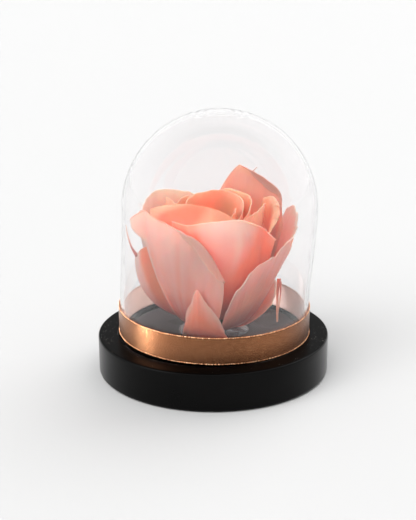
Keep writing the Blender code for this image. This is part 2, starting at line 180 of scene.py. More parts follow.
def roundAxis(radius, angle, height):
    # places at a distance from the axis, an azimuth in radians and a height
    radius, angle, height = np.broadcast_arrays(radius, angle, height)
    return np.stack([radius * np.cos(angle), radius * np.sin(angle), height], axis=-1)


def sheetNormals(places):
    # the cross product of the steps across and along a grid of places
    return unit(np.cross(np.gradient(places, axis=1), np.gradient(places, axis=0)))


def gridQuads(rows, columns, closed=False):
    # corner numbers of every cell of a grid of rows by columns; closed joins last column to first
    row = np.arange(rows - 1)[:, None]
    column = np.arange(columns if closed else columns - 1)[None, :]
    nextColumn = (column + 1) % columns
    corners = [
        row * columns + column, row * columns + nextColumn,
        (row + 1) * columns + nextColumn, (row + 1) * columns + column,
    ]
    return np.stack([np.broadcast_to(c, (rows - 1, column.size)) for c in corners], -1).reshape(-1, 4)


def pieceObject(name, points, faces, material, body="root", sharpAngle=None):
    # points in millimetres; faces is a list of arrays of corner numbers
    mesh = bpy.data.meshes.new(name)
    mesh.from_pydata((points * mm).tolist(), [], [f for block in faces for f in block.tolist()])
    mesh.materials.append(material)
    mesh.shade_smooth()
    if sharpAngle:
        mesh.set_sharp_from_angle(angle=math.radians(sharpAngle))
    made = bpy.data.objects.new(name, mesh)
    bpy.context.scene.collection.objects.link(made)
    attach(made, body)
    return made


def addUv(made, uv):
    # uv has one place for each point
    mesh = made.data
    corners = np.empty(len(mesh.loops), np.int32)
    mesh.loops.foreach_get("vertex_index", corners)
    layer = mesh.uv_layers.new(name="UVMap")
    layer.data.foreach_set("uv", uv[corners].astype(np.float32).ravel())


def addValue(made, name, values):
    # one number for each point, for the material to read
    layer = made.data.attributes.new(name, "FLOAT", "POINT")
    layer.data.foreach_set("value", values.astype(np.float32).ravel())


def turnedFaces(rows, columns):
    # quads of a closed ring grid whose first and last rows have one pole each, after all points
    quads = gridQuads(rows, columns, closed=True)[:, ::-1]
    ring = np.arange(columns)
    after = (ring + 1) % columns
    top, bottom = rows * columns, rows * columns + 1
    last = (rows - 1) * columns
    return [
        quads,
        np.stack([np.full(columns, top), ring, after], -1),
        np.stack([np.full(columns, bottom), last + after, last + ring], -1),
    ]


def turnedPoints(profile, columns, poles, centreAt=None):
    # each profile point (radius, height) swept round the axis; centreAt gives the axis' x by height
    rings = roundAxis(profile[:, :1], fullTurn(columns), profile[:, 1:])
    points = np.concatenate([rings.reshape(-1, 3), [[0, 0, height] for height in poles]])
    if centreAt:
        points[:, 0] += centreAt(points[:, 2])
    return points


# materials

def newMaterial(name, **sockets):
    # a Principled surface with constant sockets, ready for nodes on colour, roughness and normal
    material = bpy.data.materials.new(name)
    material.use_nodes = True
    shader = material.node_tree.nodes["Principled BSDF"]
    for socket, value in sockets.items():
        shader.inputs[socket].default_value = value
    return material, material.node_tree, shader


def addNode(tree, kind, inputs=(), **settings):
    # a shader node with its settings and its inputs
    node = tree.nodes.new("ShaderNode" + kind)
    for key, value in settings.items():
        setattr(node, key, value)
    for socket, value in dict(inputs).items():
        feed(node, socket, value)
    return node


def feed(node, socket, value):
    # links the input where the value is another node's output, and sets it otherwise
    if isinstance(value, bpy.types.NodeSocket):
        node.id_data.links.new(value, node.inputs[socket])
    else:
        node.inputs[socket].default_value = value


def addMath(tree, operation, *values):
    # one step of arithmetic on one or two numbers
    return addNode(tree, "Math", enumerate(values), operation=operation).outputs[0]


def meanOfThree(tree, first, second, third):
    # a third of the sum, so that it stays between 0 and 1
    total = addMath(tree, "ADD", addMath(tree, "ADD", first, second), third)
    return addMath(tree, "MULTIPLY", total, 1 / 3)


def spanValue(tree, value, start, end, first=0.0, last=1.0):
    # straight from first to last while the value goes from start to end
    inputs = {"Value": value, 1: start, 2: end, 3: first, 4: last}
    return addNode(tree, "MapRange", inputs).outputs["Result"]


def addRamp(tree, factor, stops):
    # stops of (place, colour or grey), straight in between
    node = addNode(tree, "ValToRGB", {"Fac": factor})
    ramp = node.color_ramp
    while len(ramp.elements) < len(stops):
        ramp.elements.new(0.5)
    for element, (place, colour) in zip(ramp.elements, stops):
        element.position = place
        element.color = (*colour, 1) if hasattr(colour, "__len__") else (colour, colour, colour, 1)
    return node.outputs["Color"]


def mixColour(tree, factor, first, second, blend="MIX"):
    # the colour mix's own sockets: 0 is the factor, 6 and 7 are the two colours
    inputs = {0: factor, 6: first, 7: second}
    return addNode(tree, "Mix", inputs, data_type="RGBA", blend_type=blend).outputs[2]


def objectPlace(tree):
    # the place on the piece, in metres
    return addNode(tree, "TexCoord").outputs["Object"]


def noiseValue(tree, vector, scale, detail, roughness=0.5, stretch=None):
    # fractal noise, 0 to 1; stretch multiplies the three coordinates first
    if stretch:
        vector = addNode(tree, "Mapping", {"Vector": vector, "Scale": stretch}).outputs["Vector"]
    inputs = {"Vector": vector, "Scale": scale, "Detail": detail, "Roughness": roughness}
    return addNode(tree, "TexNoise", inputs).outputs["Fac"]


def bumpFrom(tree, shader, height, distance, strength):
    # small relief from a height of 0 to 1; distance is its depth in metres
    bump = addNode(tree, "Bump", {"Height": height, "Distance": distance, "Strength": strength})
    feed(shader, "Normal", bump.outputs["Normal"])


def mottledMaterial(name, scale, detail, colours=None, roughness=None, bump=None, stretch=None, **sockets):
    # one noise of the place drives the colour, the roughness and the relief, each where it is given
    material, tree, shader = newMaterial(name, **sockets)
    mottle = noiseValue(tree, objectPlace(tree), scale, detail, stretch=stretch)
    if colours:
        feed(shader, "Base Color", addRamp(tree, mottle, colours))
    if roughness:
        feed(shader, "Roughness", addRamp(tree, mottle, roughness))
    if bump:
        bumpFrom(tree, shader, mottle, *bump)
    return material


# the base

base = dict(
    radius=43.6, height=14.6, topRounding=0.75, footRounding=1.3, cornerRounding=0.12,
    grooveInner=33.2, grooveOuter=36.3, grooveDepth=1.9, segments=192,
    topRings=(2.0, 12.0, 24.0), footRings=(30.0, 2.0),
    margin=1.0,  # how far the flats' rings keep from a rounding
    paintedHazeEdge=(32.5, 33.5),  # the top is painted a paler grey up to here, a painted haze of light seen through the dome
)


def paintMaterial(name, specular, sheen, paintedHaze=0.0):
    # near black, mottled by noise; the last argument is the share of a paler grey painted within the inner
    # edge radius, a painted haze of light seen through the dome
    material, tree, shader = newMaterial(
        name, **{"Specular IOR Level": specular, "Sheen Weight": sheen, "Sheen Roughness": 0.3},
    )
    place = objectPlace(tree)
    cloud = noiseValue(tree, place, 60.0, 4.0)
    colour = addRamp(tree, cloud, [(0.3, (0.0008, 0.0008, 0.0008)), (0.8, (0.0020, 0.0019, 0.0019))])
    # painted haze: under the dome the top fades to a paler grey that stands in for light seen through the
    # glass
    if paintedHaze:
        level = addNode(tree, "VectorMath", {0: place, 1: (1.0, 1.0, 0.0)}, operation="MULTIPLY").outputs[0]
        away = addNode(tree, "VectorMath", {0: level}, operation="LENGTH").outputs["Value"]
        start, end = base["paintedHazeEdge"]
        near = spanValue(tree, away, start * mm, end * mm, paintedHaze, 0.0)
        hazeGrey = addRamp(tree, cloud, [(0.3, (0.085, 0.072, 0.073)), (0.8, (0.105, 0.090, 0.092))])
        colour = mixColour(tree, near, colour, hazeGrey)
    feed(shader, "Base Color", colour)
    feed(shader, "Roughness", addRamp(tree, cloud, [(0.3, 0.26), (0.75, 0.36)]))
    bumpFrom(tree, shader, noiseValue(tree, place, 900.0, 3.0), 0.00002, 0.05)
    return material


def makeBase(size):
    # a profile of flats and round corners: over the top and the groove, down the side, and to the foot
    r, top, margin = size["cornerRounding"], size["height"], size["margin"]
    groove = top - size["grooveDepth"]
    inner, outer, radius = size["grooveInner"], size["grooveOuter"], size["radius"]
    shoulder, foot = size["topRounding"], size["footRounding"]
    profile = np.concatenate([
        [(ring, top) for ring in size["topRings"]] + [(inner - 2 * margin, top)],
        arc(inner - r, top - r, r, 90, 0, 3),
        [(inner, groove), (outer, groove)],
        arc(outer + r, top - r, r, 180, 90, 3),
        [(outer + 2 * margin, top), (radius - shoulder - margin, top)],
        arc(radius - shoulder, top - shoulder, shoulder, 90, 0, 8),
        [(radius, top - 3 * margin), (radius, foot + 2 * margin)],
        arc(radius - foot, foot, foot, 0, -90, 8),
        [(ring, 0.0) for ring in size["footRings"]],
    ])
    points = turnedPoints(profile, size["segments"], (top, 0.0))
    made = pieceObject(
        "baseDisc", points, turnedFaces(len(profile), size["segments"]),
        paintMaterial("blackSatinPaint", 0.08, 0.27), sharpAngle=50,
    )
    # the faces that look up have a duller finish, and under the dome the paler grey of painted haze
    made.data.materials.append(paintMaterial("blackMattTop", 0.011, 0.0, 0.8))
    normals = np.empty(3 * len(made.data.polygons), np.float32)
    made.data.polygons.foreach_get("normal", normals)
    made.data.polygons.foreach_set("material_index", (normals[2::3] > 0.8).astype(np.int32))
    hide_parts("base")


# the glass

glass = dict(
    footRadius=35.6, crownRadius=36.2, wall=1.3, crownCentre=63.1, offset=0.4, lean=2.2,
    leanFrom=21.0, leanTo=64.0, foot=13.0, footRounding=0.5, segments=192, crownRows=72, wallRows=27,
    poleGap=1.5, ripple=0.02, innerRipple=0.6, rippleFrom=4.0, rippleTo=19.0, rippleFade=4.0,
    rippleTurn=1.35,
)


def glassCentre(height):
    # the axis' x: an offset, and a lean that eases in between two heights
    return glass["offset"] + glass["lean"] * smoothstep(height, glass["leanFrom"], glass["leanTo"])


def glassRadius(height):
    # the foot's radius, easing into the crown's between the same two heights
    widening = glass["crownRadius"] - glass["footRadius"]
    return glass["footRadius"] + widening * smoothstep(height, glass["leanFrom"], glass["leanTo"])


def makeGlass(size):
    # down the outside from the crown, round the foot, and up the inside; the crown's faint rings are
    # a sine of the angle from the pole, faded in and out
    angle = np.linspace(size["poleGap"], 90.0, size["crownRows"])
    fade = smoothstep(angle, size["rippleFrom"], size["rippleFrom"] + size["rippleFade"])
    fade = fade * (1 - smoothstep(angle, size["rippleTo"] - size["rippleFade"], size["rippleTo"] + 3))
    ring = size["ripple"] * np.sin(angle * size["rippleTurn"]) * fade
    outer = size["crownRadius"] + ring
    inner = size["crownRadius"] - size["wall"] - size["innerRipple"] * ring
    crownOut, crownIn = (
        arc(0, size["crownCentre"], radius, 90 - size["poleGap"], 0, size["crownRows"] - 1)
        for radius in (outer, inner)
    )
    r = size["footRounding"]
    heights = np.linspace(size["crownCentre"], size["foot"] + r, size["wallRows"] + 1)[1:]
    wallOut = np.stack([glassRadius(heights), heights], -1)
    wallIn = np.stack([glassRadius(heights) - size["wall"], heights], -1)
    footRadius = float(glassRadius(size["foot"]))
    rim = np.concatenate([
        arc(footRadius - r, size["foot"] + r, r, 0, -90, 5)[1:],
        arc(footRadius - size["wall"] + r, size["foot"] + r, r, -90, -180, 5)[:-1],
    ])
    profile = np.concatenate([crownOut, wallOut, rim, wallIn[::-1], crownIn[::-1]])
    top = size["crownCentre"] + size["crownRadius"]
    points = turnedPoints(profile, size["segments"], (top, top - size["wall"]), glassCentre)
    # clear, with a hand-made wall that is a little uneven
    surface = mottledMaterial(
        "clearGlass", 22.0, 0.0, bump=(0.00001, 0.1),
        **{"Base Color": (0.978, 0.968, 0.970, 1), "Roughness": 0.0, "IOR": 1.47,
           "Transmission Weight": 1.0},
    )
    faces = turnedFaces(len(profile), size["segments"])
    made = pieceObject("glassDome", points, faces, surface)
    made.visible_shadow = False
    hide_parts("glass_dome")


# the ribbon

ribbon = dict(
    width=10.0, thickness=0.24, clearance=0.18, lowerEdge=14.9, lapAt=78.0, lapLength=9.6, lapRise=0.6,
    highSide=150.0, highSideRise=0.6, columns=720, rows=24, crown=0.10,
    uvUnit=10.0, weave=(21.0, 24.0), shake=0.012,  # dots of the weave in each 10 mm, along and across
    beadPitch=0.66, beadSize=(0.30, 0.24, 0.24), beadGrowth=(0.75, 1.15), beadInset=0.012, beadLift=0.07,
    beadShift=0.25, beadWander=0.004, seed=4,  # shares of the pitch and of the width
)


def lapAngle():
    # the lap's length as degrees round the foot of the glass
    return math.degrees(ribbon["lapLength"] / glass["footRadius"])


def ribbonPlace(angle, share, lift=0.0):
    # round the glass at an angle in degrees; share 0 to 1 of the width; lift stands off the sheet.
    # The height is a cosine of the angle, and the section is a sine arch
    size, lap = ribbon, lapAngle()
    high = np.cos(np.radians(angle - size["highSide"]))
    height = size["lowerEdge"] + size["highSideRise"] * (1 + high) + share * size["width"]
    lapped = smoothstep(angle, size["lapAt"] + 360 - 2 * lap, size["lapAt"] + 360 - 0.3 * lap)
    crown = size["crown"] * np.sin(math.pi * np.clip(share, 0, 1))
    radius = (
        glassRadius(height) + size["clearance"] + size["thickness"] / 2
        + size["lapRise"] * lapped + crown + lift
    )
    places = roundAxis(radius, np.radians(angle), height)
    places[..., 0] += glassCentre(height)
    return places


def satinMaterial(name, colours, roughness, metallic, letsThrough):
    # colour and relief follow the mean of long threads, glints and the dots of the weave
    material, tree, shader = newMaterial(
        name,
        **{"Subsurface Weight": letsThrough, "Subsurface Radius": (1.6, 1.3, 1.2),
           "Subsurface Scale": 0.001, "Metallic": metallic, "Anisotropic": 0.75,
           "Anisotropic Rotation": 0.25, "Sheen Weight": 0.05},
    )
    flat = addNode(tree, "UVMap", uv_map="UVMap").outputs["UV"]
    tangent = addNode(tree, "Tangent", direction_type="UV_MAP", uv_map="UVMap")
    feed(shader, "Tangent", tangent.outputs["Tangent"])
    # the dots are sin(u) sin(v), shaken by the glints
    threads = noiseValue(tree, flat, 3.0, 3.0, 0.7, (1.2, 24.0, 1.0))
    glints = noiseValue(tree, flat, 3.0, 2.0, 0.9, (9.0, 14.0, 1.0))
    shift = mixColour(tree, ribbon["shake"], (0, 0, 0, 1), glints)
    shaken = addNode(tree, "VectorMath", {0: flat, 1: shift}, operation="ADD").outputs["Vector"]
    apart = addNode(tree, "SeparateXYZ", {"Vector": shaken})
    sines = [
        addMath(tree, "SINE", addMath(tree, "MULTIPLY", apart.outputs[axis], 2 * math.pi * dots))
        for axis, dots in zip("XY", ribbon["weave"])
    ]
    dots = addMath(tree, "MULTIPLY", *sines)
    mean = meanOfThree(tree, threads, glints, spanValue(tree, dots, -1.0, 1.0))
    # a dark line beside each edge thread
    selvedge = addRamp(
        tree, apart.outputs["Y"],
        [(0.0, 1.0), (0.02, 1.0), (0.035, 0.5), (0.06, 1.0),
         (0.935, 1.0), (0.96, 0.45), (0.98, 1.0), (1.0, 1.0)],
    )
    feed(shader, "Base Color", mixColour(tree, 1.0, addRamp(tree, mean, colours), selvedge, "MULTIPLY"))
    feed(shader, "Roughness", addRamp(tree, glints, roughness))
    bumpFrom(tree, shader, mean, 0.00016, 0.6)
    return material


def makeRibbon(size):
    # ribbonPlace over a grid of turning angle by share of the width, given its thickness
    turned = 360 + lapAngle()
    angle = np.linspace(size["lapAt"], size["lapAt"] + turned, size["columns"])[None, :]
    share = np.linspace(0, 1, size["rows"])[:, None]
    angle, share = angle + 0 * share, share + 0 * angle
    satin = satinMaterial(
        "copperSatin",
        [(0.36, (0.050, 0.010, 0.002)), (0.52, (0.16, 0.042, 0.009)), (0.68, (0.74, 0.39, 0.19))],
        [(0.35, 0.33), (0.65, 0.19)], 0.84, 0.0,
    )
    reverse = satinMaterial(
        "copperSatinReverse",
        [(0.36, (0.72, 0.43, 0.38)), (0.50, (0.82, 0.53, 0.48)), (0.64, (0.88, 0.63, 0.57))],
        [(0.35, 0.62), (0.65, 0.5)], 0.0, 0.45,
    )
    points, faces, spread = thickSheet(ribbonPlace(angle, share), np.full(angle.shape, size["thickness"]))
    made = pieceObject("ribbonBand", points, faces, satin)
    made.data.materials.append(reverse)  # the second block of faces looks at the glass
    inside = np.zeros(len(made.data.polygons), np.int32)
    inside[len(faces[0]):len(faces[0]) + len(faces[1])] = 1
    made.data.polygons.foreach_set("material_index", inside)
    length = math.radians(turned) * glass["footRadius"]
    uv = np.stack([(angle - size["lapAt"]) / turned * length, share * size["width"]], -1)
    addUv(made, spread(uv / size["uvUnit"]))
    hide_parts("ribbon")
    beads = makeBeads(size, length, turned)


def makeBeads(size, length, turned):
    # a bead for each turn of the edge thread, along both edges, each a little off its even place
    draw = np.random.default_rng(size["seed"])
    count = int(length / size["beadPitch"])
    around = np.linspace(size["lapAt"] + 0.6, size["lapAt"] + turned - 1, count)
    centres, turns = [], []
    for edge, inset in ((0.0, size["beadInset"]), (1.0, -size["beadInset"])):
        jitter = draw.uniform(-1, 1, (2, count))
        at = around + jitter[0] * size["beadShift"] * 360 / count
        centres.append(ribbonPlace(at, edge + inset + jitter[1] * size["beadWander"], size["beadLift"]))
        turns.append(np.radians(at))
    turns = np.concatenate(turns)
    scale = np.array(size["beadSize"]) * draw.uniform(*size["beadGrowth"], (2 * count, 1))
    # each ball's own directions: along the edge, out from the glass, and up
    ways = np.zeros((2 * count, 3, 3))
    ways[:, 0, 0], ways[:, 0, 1] = -np.sin(turns), np.cos(turns)
    ways[:, 1, 0], ways[:, 1, 1] = np.cos(turns), np.sin(turns)
    ways[:, 2, 2] = 1.0
    thread = mottledMaterial(
        "copperEdgeThread", 1400.0, 2.0,
        [(0.35, (0.30, 0.10, 0.035)), (0.5, (0.72, 0.31, 0.13)), (0.68, (0.98, 0.62, 0.36))],
        Metallic=0.35, Roughness=0.35,
    )
    ways = scale[:, :, None] * ways
    return manyBalls("ribbonEdgeBeads", ballShape(6, 3), np.concatenate(centres), ways, thread)


def manyBalls(name, shape, centres, ways, material):
    # one mesh: each ball is its centre plus the ball's own coordinates times its three directions
    ball, blocks = shape
    points = centres[:, None, :] + np.einsum("vk,nkj->nvj", ball, ways)
    shifts = (np.arange(len(centres)) * len(ball))[:, None, None]
    faces = [(block[None] + shifts).reshape(-1, block.shape[1]) for block in blocks]
    return pieceObject(name, points.reshape(-1, 3), faces, material)


def ballShape(columns, rows):
    # a small closed ball: rings at equal angles between two poles
    rise = np.radians(np.linspace(90, -90, rows + 2)[1:-1])
    profile = np.stack([np.cos(rise), np.sin(rise)], axis=-1)
    return turnedPoints(profile, columns, (1, -1)), turnedFaces(rows, columns)


def thickSheet(places, thickness):
    # a sheet's two faces, half a thickness either way along its normal, and a rounded edge between
    rows, columns = places.shape[:2]
    normal = sheetNormals(places)
    half = thickness[..., None] / 2
    number = np.arange(rows * columns).reshape(rows, columns)
    rim = np.concatenate([number[0, :-1], number[:-1, -1], number[-1, :0:-1], number[:0:-1, 0]])
    middle = places.reshape(-1, 3)[rim]
    along = unit(np.roll(middle, -1, 0) - np.roll(middle, 1, 0))
    outward = unit(np.cross(along, normal.reshape(-1, 3)[rim]))
    edge = middle + outward * thickness.reshape(-1)[rim][:, None] * 0.35
    upper, lower = (places + way * normal * half for way in (1, -1))
    points = np.concatenate([upper.reshape(-1, 3), lower.reshape(-1, 3), edge])
    quads = gridQuads(rows, columns)
    total = rows * columns
    here, there = np.arange(len(rim)), (np.arange(len(rim)) + 1) % len(rim)
    above = np.stack([rim[there], rim[here], 2 * total + here, 2 * total + there], -1)
    below = np.stack([2 * total + there, 2 * total + here, total + rim[here], total + rim[there]], -1)

    def spread(values):
        # the same value on both faces and on the edge between them
        flat = values.reshape(total, -1)
        return np.concatenate([flat, flat, flat[rim]])

    return points, [quads, quads[:, ::-1] + total, above, below], spread


# the glue and the green receptacle

glue = dict(
    radius=12.3, lobe=1.4, lobes=2, inset=0.35, wave=0.3, waves=5, foot=14.9, lift=0.1, thickness=0.55,
    domePower=6, ripple=0.25, firstReach=0.04, columns=96, rows=20,
)


def makeGlue(size):
    # a low pool on a flat foot: the outline is a cosine of the azimuth, and the top's height is
    # 1 - r^6 of the thickness, with small waves
    angle = fullTurn(size["columns"])
    reach = np.linspace(size["firstReach"], 1.0, size["rows"])[:, None]
    outline = size["radius"] + size["lobe"] * np.cos(size["lobes"] * angle) - size["inset"]
    outline = outline + size["wave"] * np.sin(size["waves"] * angle + 1)
    wave = 1 + size["ripple"] * np.sin(7 * angle + 4 * reach) * np.sin(9 * reach)
    height = size["foot"] + size["lift"] + size["thickness"] * (1 - reach ** size["domePower"]) * wave
    top = roundAxis(outline * reach, angle, height)
    below = top[::-1].copy()
    below[..., 2] = size["foot"]
    places = np.concatenate([top, below])
    poles = [[0, 0, size["foot"] + size["thickness"]], [0, 0, size["foot"]]]
    points = np.concatenate([places.reshape(-1, 3), poles])
    # nearly clear, with soft bumps
    surface = mottledMaterial(
        "clearGlue", 320.0, 2.0, bump=(0.0002, 0.3),
        **{"Base Color": (0.80, 0.80, 0.84, 1), "Roughness": 0.16, "IOR": 1.40,
           "Transmission Weight": 0.95},
    )
    made = pieceObject("gluePool", points, turnedFaces(len(places), size["columns"]), surface)
    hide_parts("glue")


def paintReceptacle(node):
    # dry green fibres: noise drawn out ten times along the axis
    green = mottledMaterial(
        "driedGreen", 1.0, 4.0, [(0.3, (0.055, 0.07, 0.02)), (0.7, (0.20, 0.22, 0.08))],
        [(0.3, 0.9), (0.7, 0.65)], (0.0003, 0.8), (900, 900, 90), **{"Subsurface Weight": 0.1},
    )
    node.data.materials.clear()
    node.data.materials.append(green)


# the petals

# layer: place in the spiral, 0 outermost; each layer lifts the claw by clawStep and brings it in by
#   clawRadiusStep, and from firstInner on the petal is an inner one
# claw: azimuth and half width in degrees
# low, high: inner control points of the side profile, as shares of the rim's radius and of the climb
# fan: the stretch of reach over which the sides spread; flank draws the sides in
# corner: rounding of the rim's ends; waist: turn of the middle, in degrees from side to side
# ridges: reach of the crest from side to side, half width as reach, height in mm from side to side
# flare of the first corner: its share across, the reaches where it starts and is full, mm outwards
#   and degrees around
# folds: share across at the claw and at the rim, half width, height in mm and starting reach
# roll: width in mm of the rolled edge from side to side, minus for inwards; rollTurn in degrees,
#   rollRadius in mm; rollPaint: its tone and strength
# ruffle, ragged: waves of the face and of the rim in mm; creases: their number, creaseDepth in mm
# warm: reddening low down and at the sides, partly the petals' own deeper colour and partly a painted glow
# of light through them where they lie in shade; rimPale, sidePale: strength and fade in mm of the painted
# highlight along the rim and the sides
# paint: tone, share across and reach of a soft spot, its half widths and strength; the tones are painted
# light, painted shade and the warm painted glow
# streaks: tone, share at the claw and at the rim of a soft line, half width and strength
# rim: azimuth, distance from the axis and height along the rim
petalCommon = dict(
    clawFoot=16.1, clawStep=1.22, clawRadius=7.0, clawRadiusStep=0.28, low=(0.6, 0.03), high=(1.0, 0.52),
    fan=(0.0, 0.8), corner=0.06, cornerPower=6, waist=(0, 0), flank=0.0, ridges=[], folds=[],
    roll=[0.4, 0.55, 0.5, 0.55, 0.4], rollTurn=55.0, rollRadius=0.5, rollPaint=("pale", 0.0),
    ruffle=0.28, ragged=0.12, creases=22, creaseDepth=0.09, warm=(0.35, 0.2), paint=[], streaks=[],
    thickness=0.28, rimThickness=0.18, thinFrom=4.0, rimPale=(0.28, 0.35), sidePale=(0.15, 0.4),
    columns=73, rows=58, rollRows=12, firstInner=6,
)
